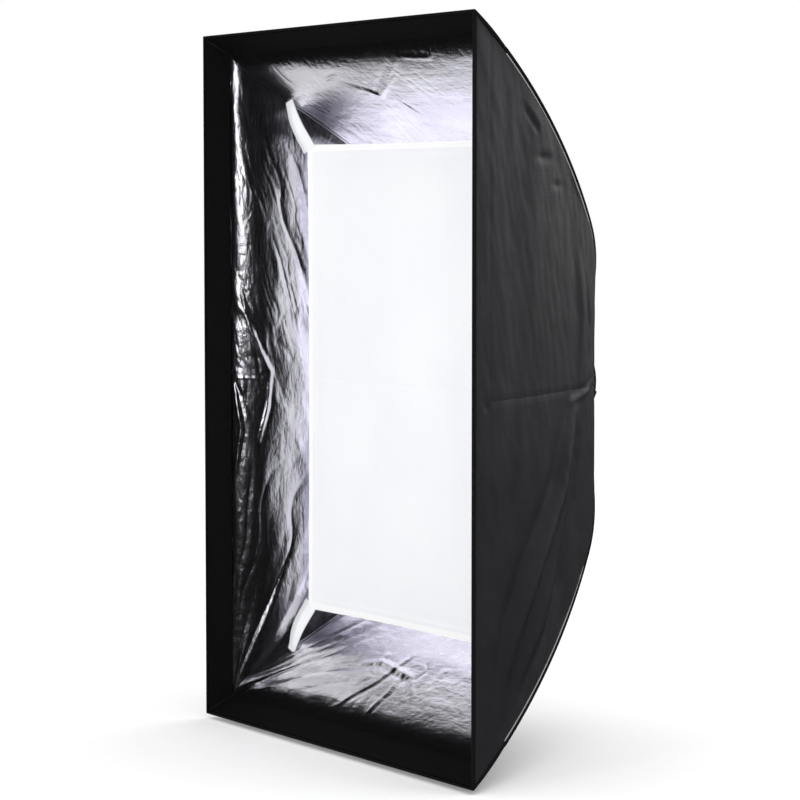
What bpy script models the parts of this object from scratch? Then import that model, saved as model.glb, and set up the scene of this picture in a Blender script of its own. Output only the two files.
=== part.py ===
"""Quick-folding rectangular softbox, 0.80 m x 1.20 m.

Metres, +Z up. The open front faces -Y and +X is to the right seen from the front. The origin is the centre of
the bayonet insert's rear face, where the box seats on a light.

Four bowed rods hinge on a speedring and stretch four tapering fabric panels. Every rod lies in the plane
through the axis and one corner of the opening, and all the fabric layers follow arcs concentric with it.
"""
import math

import bmesh
import bpy
from mathutils import Matrix, Vector

# ---- the box -----------------------------------------------------------------------------------------------
OPENING_WIDTH = 0.80
OPENING_HEIGHT = 1.20
FRONT_Y = -0.518                # plane of the open front
BOW_FRONT_RADIUS = 1.75         # the corner seams bend gently in front
BOW_REAR_RADIUS = 0.42          # and tightly near the speedring, where the rods are clamped
BOW_FRONT_ANGLE = math.radians(35.0)    # between straight outward and the seam's normal, at the opening
BOW_JOIN_ANGLE = math.radians(53.3)     # the same where the tighter arc begins

FABRIC = 0.0012                 # thickness of the fabric layers
GAP = 0.0003                    # clearance between touching pieces
CORNER_TRIM = 0.003             # the top and bottom panels end short of the side panels
PANEL_REAR_RADIUS = 0.191       # the panels end here, measured along a corner
SKIRT_FRONT_RADIUS = 0.1895
SKIRT_HEM_RADIUS = 0.118        # at the corners, outside the release buttons
SKIRT_SIDE_RADIUS = 0.092       # between the corners, drawn in round the hub
SKIRT_SIDE_Y = -0.034
SKIRT_BULGE = math.radians(24)  # how far round each corner's bulge reaches
SKIRT_SEGMENTS = 72
SKIRT_RINGS = 6
ARC_STEPS = 20

LIP_DEPTH = 0.041               # the black hook-and-loop band inside the opening
LIP_THICKNESS = 0.0016
LIP_FRONT_DEPTH = 0.002
LIP_FRONT_INSET = 0.0055
LIP_REAR_INSET = 0.0084

LINING_INSET = 0.029            # silver lining, inside the rods
LINING_RAMP = 0.015             # how quickly it leaves the band for that inset
LINING_REAR_RADIUS = 0.155

BAFFLE_WIDTH = 0.59
BAFFLE_HEIGHT = 0.82
BAFFLE_DEPTH = 0.15
STRAP_ANCHOR_DEPTH = 0.128
STRAP_WIDTH = 0.018
STRAP_START = 0.012             # clear of the baffle's corner
STRAP_END = 0.044               # clear of the lining's corner seam

# ---- the rods ----------------------------------------------------------------------------------------------
ROD_RADIUS = 0.003
ROD_INSET = 0.011               # centreline inside the outer fabric's arc
PIVOT_RADIUS = 0.100
ROD_TIP_DEPTH = 0.060
ROD_STEPS = 36
SLEEVE_RADIUS = 0.0042
SLEEVE_WALL = 0.0008
SLEEVE_FRONT_DEPTH = 0.078
SLEEVE_REAR_RADIUS = 0.205
SLEEVE_STEPS = 20
CAP_RADIUS = 0.0042
CAP_LENGTH = 0.016
CAP_END = 0.003                 # solid end beyond the rod

KNUCKLE_RADIUS = 0.0075
KNUCKLE_WIDTH = 0.0116
SOCKET_RADIUS = 0.006
SOCKET_LENGTH = 0.034
SOCKET_FLOOR = 0.0095           # start of its bore, from the pivot
PIN_RADIUS = 0.0025
PIN_HEAD_RADIUS = 0.0042
PIN_HEAD = 0.0015

# ---- the speedring, by y ------------------------------------------------------------------------------------
RING_SEGMENTS = 48
THROAT_RADIUS = 0.045           # clear hole for the flash tube
COLLAR_RADIUS = 0.051
INSERT_FLANGE_RADIUS = 0.068
INSERT_FLANGE_REAR = -0.016
INSERT_FLANGE_FRONT = -0.022
LUG_REACH = 0.060
LUG_WIDTH = 0.024
LUG_REAR = -0.0005
LUG_FRONT = -0.0045
HUB_RADIUS = 0.085
HUB_REAR_RADIUS = 0.0655        # the rear edge is coned down to this
HUB_CONE_FRONT = -0.024
HUB_REAR_HOLE = 0.0615
HUB_POCKET_RADIUS = 0.0695
HUB_REAR = -0.008
HUB_FRONT = -0.0283
PLATE_HOLE = 0.047
PLATE_THICKNESS = 0.004
SCREW_CIRCLE = 0.077
SCREW_RADIUS = 0.0018
SCREW_HEAD_RADIUS = 0.0035
SCREW_HEAD = 0.0022
SCREW_LENGTH = 0.0094
SCREW_START = math.tau * 2.5 / RING_SEGMENTS    # between the hinge brackets, clear of the knob
KNOB_RADIUS = 0.011
KNOB_HEIGHT = 0.012
KNOB_STEM = 0.003
KNOB_FOOT = 0.089
KNOB_FLUTES = 8
FLUTE_RADIUS = 0.003

# ---- hinge brackets and release buttons, radii from the axis --------------------------------------------------
BRACKET_INNER = 0.066
BRACKET_OUTER = 0.110
BRACKET_BASE = 0.0036
CHEEK_INNER = 0.089
CHEEK = 0.0028
CHEEK_ROUND = 0.0085
BUTTON_HEAD_RADIUS = 0.006
BUTTON_HEAD = 0.005
BUTTON_HEAD_Y = -0.020          # rear face of the head
BUTTON_STEM = 0.0022
BUTTON_STEM_END = -0.0350
SPRING_RADIUS = 0.0034
SPRING_WIRE = 0.00045
SPRING_TURNS = 3
SPRING_STEPS = 10

HALF_WIDTH = OPENING_WIDTH / 2
HALF_HEIGHT = OPENING_HEIGHT / 2
CORNER_RADIUS = math.hypot(HALF_WIDTH, HALF_HEIGHT)
DIAGONAL_X = HALF_WIDTH / CORNER_RADIUS
DIAGONAL_Z = HALF_HEIGHT / CORNER_RADIUS
CORNER_ANGLE = math.atan2(DIAGONAL_Z, DIAGONAL_X)
CORNERS = {
    "top_right": CORNER_ANGLE,
    "top_left": math.pi - CORNER_ANGLE,
    "bottom_left": math.pi + CORNER_ANGLE,
    "bottom_right": -CORNER_ANGLE,
}
PLATE_REAR = HUB_FRONT - GAP
PLATE_FRONT = PLATE_REAR - PLATE_THICKNESS
BRACKET_REAR = PLATE_FRONT - GAP

# the arc of the corner seams in the plane of depth and radius: its size and its centre
FRONT_CENTRE = (-BOW_FRONT_RADIUS * math.sin(BOW_FRONT_ANGLE),
                CORNER_RADIUS - BOW_FRONT_RADIUS * math.cos(BOW_FRONT_ANGLE))
REAR_CENTRE = (FRONT_CENTRE[0] + (BOW_FRONT_RADIUS - BOW_REAR_RADIUS) * math.sin(BOW_JOIN_ANGLE),
               FRONT_CENTRE[1] + (BOW_FRONT_RADIUS - BOW_REAR_RADIUS) * math.cos(BOW_JOIN_ANGLE))


def arc_at(rear, inset):
    """(radius, centre depth, centre radius) of the front or the rear arc, inset inside the seam."""
    radius, centre = (BOW_REAR_RADIUS, REAR_CENTRE) if rear else (BOW_FRONT_RADIUS, FRONT_CENTRE)
    return radius - inset, *centre


def bow_point(angle, inset):
    """(depth, radius) on the line that lies inset inside a corner seam."""
    reach, depth, radius = arc_at(angle > BOW_JOIN_ANGLE, inset)
    return reach * math.sin(angle) + depth, reach * math.cos(angle) + radius


def angle_at_depth(depth, inset=0.0):
    reach, centre_depth, _ = arc_at(depth > bow_point(BOW_JOIN_ANGLE, inset)[0], inset)
    return math.asin((depth - centre_depth) / reach)


def angle_at_radius(radius, inset=0.0):
    reach, _, centre_radius = arc_at(radius < bow_point(BOW_JOIN_ANGLE, inset)[1], inset)
    return math.acos((radius - centre_radius) / reach)


def run_at(angle, inset=0.0):
    """Length along the line from where the arcs join, towards the rear."""
    return (angle - BOW_JOIN_ANGLE) * arc_at(angle > BOW_JOIN_ANGLE, inset)[0]


def angle_at_run(run, inset=0.0):
    return BOW_JOIN_ANGLE + run / arc_at(run > 0, inset)[0]


def bow_angles(first, last, steps, inset=0.0, bias=1.0):
    """Angles from first to last, evenly spaced along the line, or closer at first when bias is over 1."""
    start, end = run_at(first, inset), run_at(last, inset)
    return [angle_at_run(start + (end - start) * (i / steps) ** bias, inset) for i in range(steps + 1)]


PIVOT_ANGLE = angle_at_radius(PIVOT_RADIUS, ROD_INSET)
PIVOT_Y = FRONT_Y + bow_point(PIVOT_ANGLE, ROD_INSET)[0]


# ---- scene and materials ------------------------------------------------------------------------------------
def clear_scene():
    for item in list(bpy.data.objects):
        bpy.data.objects.remove(item, do_unlink=True)


def new_collection(name):
    group = bpy.data.collections.new(name)
    bpy.context.scene.collection.children.link(group)
    return group


def new_material(name, color, roughness, metallic=0.0):
    material = bpy.data.materials.new(name)
    material.use_nodes = True
    shader = material.node_tree.nodes["Principled BSDF"]
    shader.inputs["Base Color"].default_value = (*color, 1.0)
    shader.inputs["Roughness"].default_value = roughness
    shader.inputs["Metallic"].default_value = metallic
    return material


clear_scene()
PART = new_collection("folding_softbox")
CUTTERS = new_collection("cutters")
SHELL_FABRIC = new_material("shell_fabric", (0.035, 0.034, 0.038), 0.55)
SILVER_FABRIC = new_material("silver_fabric", (0.72, 0.71, 0.75), 0.28, 0.9)
BAND_FABRIC = new_material("band_fabric", (0.01, 0.01, 0.011), 0.9)
WHITE_FABRIC = new_material("white_fabric", (0.9, 0.9, 0.9), 0.8)
BLACK_ALLOY = new_material("black_alloy", (0.03, 0.03, 0.032), 0.45, 0.6)
BARE_ALLOY = new_material("bare_alloy", (0.6, 0.6, 0.62), 0.35, 1.0)
STEEL = new_material("steel", (0.45, 0.45, 0.47), 0.3, 1.0)
BLACK_PLASTIC = new_material("black_plastic", (0.02, 0.02, 0.021), 0.5)
GREY_PLASTIC = new_material("grey_plastic", (0.25, 0.25, 0.26), 0.45)


def add_part(name, mesh, material, parent=None, place=None):
    """Put a piece in the model. A parent empty carries the pieces of one corner."""
    item = bpy.data.objects.new(name, mesh)
    PART.objects.link(item)
    item.data.materials.clear()
    item.data.materials.append(material)
    if place:
        item.matrix_world = place
    item.parent = parent
    return item


def add_empty(name, location, turn):
    empty = bpy.data.objects.new(name, None)
    PART.objects.link(empty)
    empty.location = location
    empty.rotation_euler = (0, turn, 0)
    return empty


# ---- shapes -------------------------------------------------------------------------------------------------
def to_mesh(name, bm):
    mesh = bpy.data.meshes.new(name)
    bm.to_mesh(mesh)
    bm.free()
    return mesh


def box(low, high):
    bm = bmesh.new()
    low, high = Vector(low), Vector(high)
    scale = Matrix.Diagonal((*(high - low), 1.0))
    bmesh.ops.create_cube(bm, size=1.0, matrix=Matrix.Translation((low + high) / 2) @ scale)
    return to_mesh("box", bm)


def cylinder(start, end, radius, segments=20):
    bm = bmesh.new()
    start, end = Vector(start), Vector(end)
    turn = Vector((0, 0, 1)).rotation_difference(end - start).to_matrix().to_4x4()
    bmesh.ops.create_cone(bm, cap_ends=True, segments=segments, radius1=radius, radius2=radius,
                          depth=(end - start).length, matrix=Matrix.Translation((start + end) / 2) @ turn)
    return to_mesh("cylinder", bm)


def finished_mesh(item):
    """The mesh of an object with its modifiers, facing out."""
    mesh = bpy.data.meshes.new_from_object(item.evaluated_get(bpy.context.evaluated_depsgraph_get()))
    bm = bmesh.new()
    bm.from_mesh(mesh)
    bmesh.ops.remove_doubles(bm, verts=bm.verts, dist=0.000001)
    bmesh.ops.recalc_face_normals(bm, faces=bm.faces)
    bm.to_mesh(mesh)
    bm.free()
    bpy.data.objects.remove(item, do_unlink=True)
    return mesh


def working_object(data):
    item = bpy.data.objects.new("work", data)
    CUTTERS.objects.link(item)
    item.hide_render = True
    item.display_type = "WIRE"
    return item


def combined(base, joined=(), cut=()):
    """One solid: the base with pieces joined to it, and then others cut from it."""
    work = working_object(base)
    tools = [(mesh, "UNION") for mesh in joined] + [(mesh, "DIFFERENCE") for mesh in cut]
    tool_objects = []
    for mesh, operation in tools:
        tool_objects.append(working_object(mesh))
        boolean = work.modifiers.new(operation.lower(), "BOOLEAN")
        boolean.operation = operation
        boolean.solver = "EXACT"
        boolean.object = tool_objects[-1]
    mesh = finished_mesh(work)
    for tool in tool_objects:
        bpy.data.objects.remove(tool, do_unlink=True)
    return mesh


def turned(profile):
    """A closed (radius, y) outline turned about the Y axis."""
    bm = bmesh.new()
    verts = [bm.verts.new((radius, y, 0)) for radius, y in profile]
    for first, second in zip(verts, verts[1:] + verts[:1]):
        bm.edges.new((first, second))
    work = working_object(to_mesh("profile", bm))
    screw = work.modifiers.new("turn", "SCREW")
    screw.axis = "Y"
    screw.angle = math.tau
    screw.steps = RING_SEGMENTS
    screw.render_steps = RING_SEGMENTS
    screw.use_merge_vertices = True
    screw.merge_threshold = 0.00001
    return finished_mesh(work)


def tube(points, radius, sides_level, capped=True):
    """A round rod or an open tube along a line of points."""
    curve = bpy.data.curves.new("tube", "CURVE")
    curve.dimensions = "3D"
    curve.bevel_depth = radius
    curve.bevel_resolution = sides_level
    curve.use_fill_caps = capped
    spline = curve.splines.new("POLY")
    spline.points.add(len(points) - 1)
    for point, place in zip(spline.points, points):
        point.co = (*place, 1.0)
    return finished_mesh(working_object(curve))


def smooth(mesh):
    mesh.shade_smooth()
    mesh.set_sharp_from_angle(angle=math.radians(40))
    return mesh


def cloth_strip(edge_points, inward):
    """A sheet spanned between two rows of points, thickened towards the axis, or away from it below zero."""
    bm = bmesh.new()
    near, far = [[bm.verts.new(point) for point in row] for row in edge_points]
    for i in range(len(near) - 1):
        bm.faces.new((near[i], near[i + 1], far[i + 1], far[i]))
    middle = len(bm.faces) // 2
    bm.faces.ensure_lookup_table()
    face = bm.faces[middle]
    face.normal_update()
    centre = face.calc_center_median()
    if face.normal.dot(Vector((centre.x, 0, centre.z))) < 0:
        bmesh.ops.reverse_faces(bm, faces=bm.faces)
    work = working_object(to_mesh("sheet", bm))
    solidify = work.modifiers.new("thickness", "SOLIDIFY")
    solidify.thickness = abs(inward)
    solidify.offset = -1 if inward > 0 else 1
    solidify.use_even_offset = True
    return finished_mesh(work)


def side_sheet(side, path, inward, trim):
    """The layer of one side: path is a list of (depth, corner radius)."""
    rows = ([], [])
    for depth, radius in path:
        x, z = radius * DIAGONAL_X, radius * DIAGONAL_Z
        for row, sign in zip(rows, (-1, 1)):
            place = {
                "right": (x, sign * (z - trim)),
                "left": (-x, sign * (z - trim)),
                "top": (sign * (x - trim), z),
                "bottom": (sign * (x - trim), -z),
            }[side]
            row.append((place[0], FRONT_Y + depth, place[1]))
    return cloth_strip(rows, inward)


# ---- fabric -------------------------------------------------------------------------------------------------
def lining_inset(depth):
    settled = 1 - math.exp(-(depth - LIP_DEPTH) / LINING_RAMP)
    return LIP_REAR_INSET + (LINING_INSET - LIP_REAR_INSET) * settled


def shell_path():
    angles = bow_angles(angle_at_depth(0.0), angle_at_radius(PANEL_REAR_RADIUS), ARC_STEPS)
    return [bow_point(angle, 0.0) for angle in angles]


def lip_path():
    insets = ((LIP_FRONT_DEPTH, LIP_FRONT_INSET), (LIP_DEPTH, LIP_REAR_INSET))
    return [bow_point(angle_at_depth(depth, inset), inset) for depth, inset in insets]


def lining_path():
    first = angle_at_depth(LIP_DEPTH + 0.0006, LIP_REAR_INSET)
    last = angle_at_radius(LINING_REAR_RADIUS, LINING_INSET)
    path = []
    for angle in bow_angles(first, last, ARC_STEPS, LIP_REAR_INSET, bias=1.35):
        depth = bow_point(angle, LIP_REAR_INSET)[0]
        path.append(bow_point(angle, lining_inset(depth)))
    return path


def make_sides():
    for side in ("right", "left", "top", "bottom"):
        trim = GAP if side in ("right", "left") else CORNER_TRIM
        add_part(f"panel_{side}", side_sheet(side, shell_path(), FABRIC, trim), SHELL_FABRIC)
        add_part(f"lip_{side}", side_sheet(side, lip_path(), -LIP_THICKNESS, GAP), BAND_FABRIC)
        add_part(f"lining_{side}", side_sheet(side, lining_path(), -FABRIC, GAP), SILVER_FABRIC)


def make_baffle():
    """The inner white diffuser and the four straps that hold its corners to the corner seams."""
    y = FRONT_Y + BAFFLE_DEPTH
    half = Vector((BAFFLE_WIDTH / 2, FABRIC / 2, BAFFLE_HEIGHT / 2))
    middle = Vector((0, y, 0))
    add_part("baffle", box(middle - half, middle + half), WHITE_FABRIC)
    anchor_depth, anchor_radius = bow_point(angle_at_depth(STRAP_ANCHOR_DEPTH, LINING_INSET), LINING_INSET)
    for corner, angle in CORNERS.items():
        sign_x, sign_z = math.copysign(1, math.cos(angle)), math.copysign(1, math.sin(angle))
        start = Vector((sign_x * BAFFLE_WIDTH / 2, y, sign_z * BAFFLE_HEIGHT / 2))
        end = Vector((sign_x * anchor_radius * DIAGONAL_X, FRONT_Y + anchor_depth,
                      sign_z * anchor_radius * DIAGONAL_Z))
        along = (end - start).normalized()
        across = along.cross(Vector((0, 1, 0))).normalized()
        length = (end - start).length - STRAP_START - STRAP_END
        turn = Matrix((across, along, across.cross(along))).transposed().to_4x4()
        strap = box((-STRAP_WIDTH / 2, 0, -FABRIC / 2), (STRAP_WIDTH / 2, length, FABRIC / 2))
        strap.transform(Matrix.Translation(start + along * STRAP_START) @ turn)
        add_part(f"baffle_strap_{corner}", strap, WHITE_FABRIC)


def hem_point(turn):
    """(radius, y) of the rear hem: out past the release button at a corner, drawn in round the hub between."""
    apart = min(abs(math.remainder(turn - angle, math.tau)) for angle in CORNERS.values())
    bulge = (1 + math.cos(math.pi * min(apart / SKIRT_BULGE, 1))) / 2
    corner_y = FRONT_Y + bow_point(angle_at_radius(SKIRT_HEM_RADIUS), 0.0)[0]
    return (SKIRT_SIDE_RADIUS + (SKIRT_HEM_RADIUS - SKIRT_SIDE_RADIUS) * bulge,
            SKIRT_SIDE_Y + (corner_y - SKIRT_SIDE_Y) * bulge)


def make_skirt():
    """The rear collar: a loft from the panels' rectangular rear edge to the hem round the speedring."""
    front_y = FRONT_Y + bow_point(angle_at_radius(SKIRT_FRONT_RADIUS), 0.0)[0]
    half_x, half_z = SKIRT_FRONT_RADIUS * DIAGONAL_X, SKIRT_FRONT_RADIUS * DIAGONAL_Z
    bm = bmesh.new()
    loops = []
    for ring in range(SKIRT_RINGS):
        share = ring / (SKIRT_RINGS - 1)
        loop = []
        for i in range(SKIRT_SEGMENTS):
            turn = math.tau * i / SKIRT_SEGMENTS
            x, z = math.cos(turn), math.sin(turn)
            edge = 1 / max(abs(x) / half_x, abs(z) / half_z)
            hem, hem_y = hem_point(turn)
            radius = edge + (hem - edge) * share
            loop.append(bm.verts.new((x * radius, front_y + (hem_y - front_y) * share, z * radius)))
        loops.append(loop)
    for front, rear in zip(loops, loops[1:]):
        for i in range(SKIRT_SEGMENTS):
            j = (i + 1) % SKIRT_SEGMENTS
            bm.faces.new((front[i], front[j], rear[j], rear[i]))
    bm.faces.ensure_lookup_table()
    first = bm.faces[0]
    first.normal_update()
    if first.normal.dot(first.calc_center_median()) < 0:
        bmesh.ops.reverse_faces(bm, faces=bm.faces)
    work = working_object(to_mesh("skirt", bm))
    solidify = work.modifiers.new("thickness", "SOLIDIFY")
    solidify.thickness = FABRIC
    solidify.offset = -1
    add_part("rear_skirt", finished_mesh(work), SHELL_FABRIC)


# ---- speedring ----------------------------------------------------------------------------------------------
def make_insert():
    """The bayonet insert: a collar with three lugs that seats on the light, and the flange it turns by."""
    ring = turned([
        (THROAT_RADIUS, 0), (COLLAR_RADIUS, 0), (COLLAR_RADIUS, INSERT_FLANGE_REAR),
        (INSERT_FLANGE_RADIUS, INSERT_FLANGE_REAR), (INSERT_FLANGE_RADIUS, INSERT_FLANGE_FRONT),
        (THROAT_RADIUS, INSERT_FLANGE_FRONT),
    ])
    lugs = []
    for i in range(3):
        lug = box((COLLAR_RADIUS - 0.002, LUG_FRONT, -LUG_WIDTH / 2), (LUG_REACH, LUG_REAR, LUG_WIDTH / 2))
        lug.transform(Matrix.Rotation(math.radians(30 + 120 * i), 4, "Y"))
        lugs.append(lug)
    add_part("mount_ring", smooth(combined(ring, joined=lugs)), BARE_ALLOY)


def screw_places():
    for i in range(4):
        turn = SCREW_START + math.tau * i / 4
        yield i + 1, SCREW_CIRCLE * math.cos(turn), SCREW_CIRCLE * math.sin(turn)


def make_hub():
    knob_y = (INSERT_FLANGE_REAR + INSERT_FLANGE_FRONT) / 2
    ring = turned([
        (HUB_REAR_HOLE, HUB_REAR), (HUB_REAR_RADIUS, HUB_REAR), (HUB_RADIUS, HUB_CONE_FRONT),
        (HUB_RADIUS, HUB_FRONT),
        (HUB_POCKET_RADIUS, HUB_FRONT), (HUB_POCKET_RADIUS, INSERT_FLANGE_REAR + GAP),
        (HUB_REAR_HOLE, INSERT_FLANGE_REAR + GAP),
    ])
    hole = SCREW_RADIUS + GAP
    tapped = [cylinder((x, HUB_FRONT - 0.004, z), (x, PLATE_FRONT + SCREW_LENGTH + 0.0005, z), hole, 14)
              for _, x, z in screw_places()]
    knob_hole = cylinder((0, knob_y, HUB_REAR_HOLE), (0, knob_y, HUB_RADIUS + 0.004), KNOB_STEM + GAP)
    add_part("hub_ring", smooth(combined(ring, cut=tapped + [knob_hole])), BLACK_ALLOY)

    plate = turned([
        (PLATE_HOLE, INSERT_FLANGE_FRONT - GAP), (HUB_POCKET_RADIUS - GAP, INSERT_FLANGE_FRONT - GAP),
        (HUB_POCKET_RADIUS - GAP, PLATE_REAR), (HUB_RADIUS, PLATE_REAR), (HUB_RADIUS, PLATE_FRONT),
        (PLATE_HOLE, PLATE_FRONT),
    ])
    through = [cylinder((x, PLATE_FRONT - 0.002, z), (x, PLATE_REAR + 0.002, z), hole, 14)
               for _, x, z in screw_places()]
    add_part("retaining_plate", smooth(combined(plate, cut=through)), BLACK_ALLOY)

    head_y = PLATE_FRONT - GAP
    for number, x, z in screw_places():
        head = cylinder((0, -SCREW_HEAD, 0), (0, 0, 0), SCREW_HEAD_RADIUS, 16)
        shank = cylinder((0, -SCREW_HEAD / 2, 0), (0, SCREW_LENGTH, 0), SCREW_RADIUS, 12)
        socket = cylinder((0, -SCREW_HEAD - 0.001, 0), (0, -SCREW_HEAD / 2, 0), SCREW_RADIUS, 6)
        screw = combined(head, joined=[shank], cut=[socket])
        add_part(f"plate_screw_{number}", smooth(screw), STEEL, place=Matrix.Translation((x, head_y, z)))

    head = cylinder((0, 0, KNOB_FOOT), (0, 0, KNOB_FOOT + KNOB_HEIGHT), KNOB_RADIUS, 32)
    stem = cylinder((0, 0, INSERT_FLANGE_RADIUS + GAP), (0, 0, KNOB_FOOT + 0.003), KNOB_STEM)
    flutes = []
    for i in range(KNOB_FLUTES):
        turn = math.tau * (i + 0.5) / KNOB_FLUTES
        x, y = [(KNOB_RADIUS + FLUTE_RADIUS / 2) * part for part in (math.cos(turn), math.sin(turn))]
        flutes.append(cylinder((x, y, KNOB_FOOT - 0.002), (x, y, KNOB_FOOT + KNOB_HEIGHT + 0.002),
                               FLUTE_RADIUS, 12))
    knob = combined(head, joined=[stem], cut=flutes)
    add_part("lock_knob", smooth(knob), BLACK_PLASTIC, place=Matrix.Translation((0, knob_y, 0)))


# ---- corner hardware: X is outward from the pivot, Y is back, Z is along the pin -----------------------------
def bracket_mesh():
    half = KNUCKLE_WIDTH / 2 + GAP + CHEEK
    y0 = BRACKET_REAR - PIVOT_Y
    base = box((BRACKET_INNER - PIVOT_RADIUS, y0 - BRACKET_BASE, -half),
               (BRACKET_OUTER - PIVOT_RADIUS, y0, half))
    joined, cut = [], []
    for sign in (-1, 1):
        low, high = sorted((sign * (half - CHEEK), sign * half))
        joined.append(box((CHEEK_INNER - PIVOT_RADIUS, 0, low),
                          (BRACKET_OUTER - PIVOT_RADIUS - 0.0015, y0 - BRACKET_BASE / 2, high)))
        joined.append(cylinder((0, 0, low), (0, 0, high), CHEEK_ROUND, 28))
    cut.append(cylinder((0, 0, -half - 0.002), (0, 0, half + 0.002), PIN_RADIUS + GAP, 16))
    cut.append(cylinder((0, y0 - BRACKET_BASE - 0.002, 0), (0, y0 + 0.002, 0), BUTTON_STEM + GAP, 16))
    return smooth(combined(base, joined, cut))


def pin_mesh():
    half = KNUCKLE_WIDTH / 2 + GAP + CHEEK
    shank = cylinder((0, 0, -half - PIN_HEAD), (0, 0, half + GAP), PIN_RADIUS, 16)
    head = cylinder((0, 0, half + GAP), (0, 0, half + GAP + PIN_HEAD), PIN_HEAD_RADIUS, 20)
    overlap = cylinder((0, 0, half - 0.001), (0, 0, half + GAP + PIN_HEAD / 2), PIN_RADIUS * 0.8, 16)
    return smooth(combined(shank, joined=[overlap, head]))


def rod_line(first, last, steps):
    """Points of the rod's centreline from the pivot, between two angles."""
    points = []
    for angle in bow_angles(first, last, steps, ROD_INSET):
        depth, radius = bow_point(angle, ROD_INSET)
        points.append(Vector((radius - PIVOT_RADIUS, FRONT_Y + depth - PIVOT_Y, 0)))
    return points


def angle_along(distance):
    """The angle at a distance along the rod from the pivot, towards the tip."""
    return angle_at_run(run_at(PIVOT_ANGLE, ROD_INSET) - distance, ROD_INSET)


def socket_mesh():
    mouth = rod_line(angle_along(SOCKET_LENGTH), angle_along(0), 1)[0]
    along = mouth.normalized()
    half = KNUCKLE_WIDTH / 2
    knuckle = cylinder((0, 0, -half), (0, 0, half), KNUCKLE_RADIUS, 28)
    barrel = cylinder(along * 0.002, along * SOCKET_LENGTH, SOCKET_RADIUS - GAP, 20)
    bore = cylinder(along * SOCKET_FLOOR, along * (SOCKET_LENGTH + 0.004), ROD_RADIUS + GAP, 16)
    pin_hole = cylinder((0, 0, -half - 0.002), (0, 0, half + 0.002), PIN_RADIUS + GAP, 16)
    return smooth(combined(knuckle, [barrel], [bore, pin_hole]))


def tip_cap_mesh():
    tip_angle = angle_at_depth(ROD_TIP_DEPTH, ROD_INSET)
    back_angle = angle_at_run(run_at(tip_angle, ROD_INSET) + CAP_LENGTH - CAP_END, ROD_INSET)
    back, tip = rod_line(back_angle, tip_angle, 1)
    along = (tip - back).normalized()
    body = cylinder(back, tip + along * CAP_END, CAP_RADIUS, 16)
    bore = cylinder(back - along * 0.003, tip + along * GAP, ROD_RADIUS + GAP, 16)
    return smooth(combined(body, cut=[bore]))


def rod_mesh():
    line = rod_line(angle_along(SOCKET_LENGTH), angle_at_depth(ROD_TIP_DEPTH, ROD_INSET), ROD_STEPS)
    foot = line[0].normalized() * (SOCKET_FLOOR + GAP * 2)
    return smooth(tube([foot] + line, ROD_RADIUS, 2))


def sleeve_mesh():
    points = rod_line(angle_at_radius(SLEEVE_REAR_RADIUS, ROD_INSET),
                      angle_at_depth(SLEEVE_FRONT_DEPTH, ROD_INSET), SLEEVE_STEPS)
    work = working_object(tube(points, SLEEVE_RADIUS, 2, capped=False))
    solidify = work.modifiers.new("wall", "SOLIDIFY")
    solidify.thickness = SLEEVE_WALL
    solidify.offset = -1
    return smooth(finished_mesh(work))


def button_mesh():
    head_y = BUTTON_HEAD_Y - PIVOT_Y
    head = cylinder((0, head_y - BUTTON_HEAD, 0), (0, head_y, 0), BUTTON_HEAD_RADIUS, 24)
    stem = cylinder((0, BUTTON_STEM_END - PIVOT_Y, 0), (0, head_y - BUTTON_HEAD / 2, 0), BUTTON_STEM, 14)
    return smooth(combined(head, joined=[stem]))


def spring_mesh():
    rear = BUTTON_HEAD_Y - BUTTON_HEAD - SPRING_WIRE - GAP - PIVOT_Y
    front = BRACKET_REAR + SPRING_WIRE + GAP - PIVOT_Y
    count = SPRING_TURNS * SPRING_STEPS
    points = []
    for i in range(count + 1):
        turn = math.tau * i / SPRING_STEPS
        points.append((SPRING_RADIUS * math.cos(turn), rear + (front - rear) * i / count,
                       SPRING_RADIUS * math.sin(turn)))
    return smooth(tube(points, SPRING_WIRE, 1))


def make_corners():
    shared = {
        "hinge_bracket": (bracket_mesh(), BLACK_ALLOY),
        "hinge_pin": (pin_mesh(), STEEL),
        "rod_socket": (socket_mesh(), BARE_ALLOY),
        "rod": (rod_mesh(), STEEL),
        "rod_tip_cap": (tip_cap_mesh(), BLACK_PLASTIC),
        "rod_sleeve": (sleeve_mesh(), SHELL_FABRIC),
        "release_button": (button_mesh(), GREY_PLASTIC),
        "button_spring": (spring_mesh(), STEEL),
    }
    for corner, angle in CORNERS.items():
        place = (PIVOT_RADIUS * math.cos(angle), PIVOT_Y, PIVOT_RADIUS * math.sin(angle))
        pivot = add_empty(f"pivot_{corner}", place, -angle)
        for name, (mesh, material) in shared.items():
            add_part(f"{name}_{corner}", mesh, material, parent=pivot)


make_insert()
make_hub()
make_corners()
make_sides()
make_baffle()
make_skirt()
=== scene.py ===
"""Looks for the folding rectangular softbox: cloth, lining, bands, seams, metal, light and camera.

Metres, +Z up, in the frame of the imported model. The cloth layers repeat the corner arcs of part.py. A
point of a layer is given by its depth behind the opening, its radius along the corner and its place
across the side, from -1 at one corner rod to 1 at the other. On the cloth itself, s runs back from the
front edge and w runs across from the middle, both in metres.
"""
import math

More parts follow.
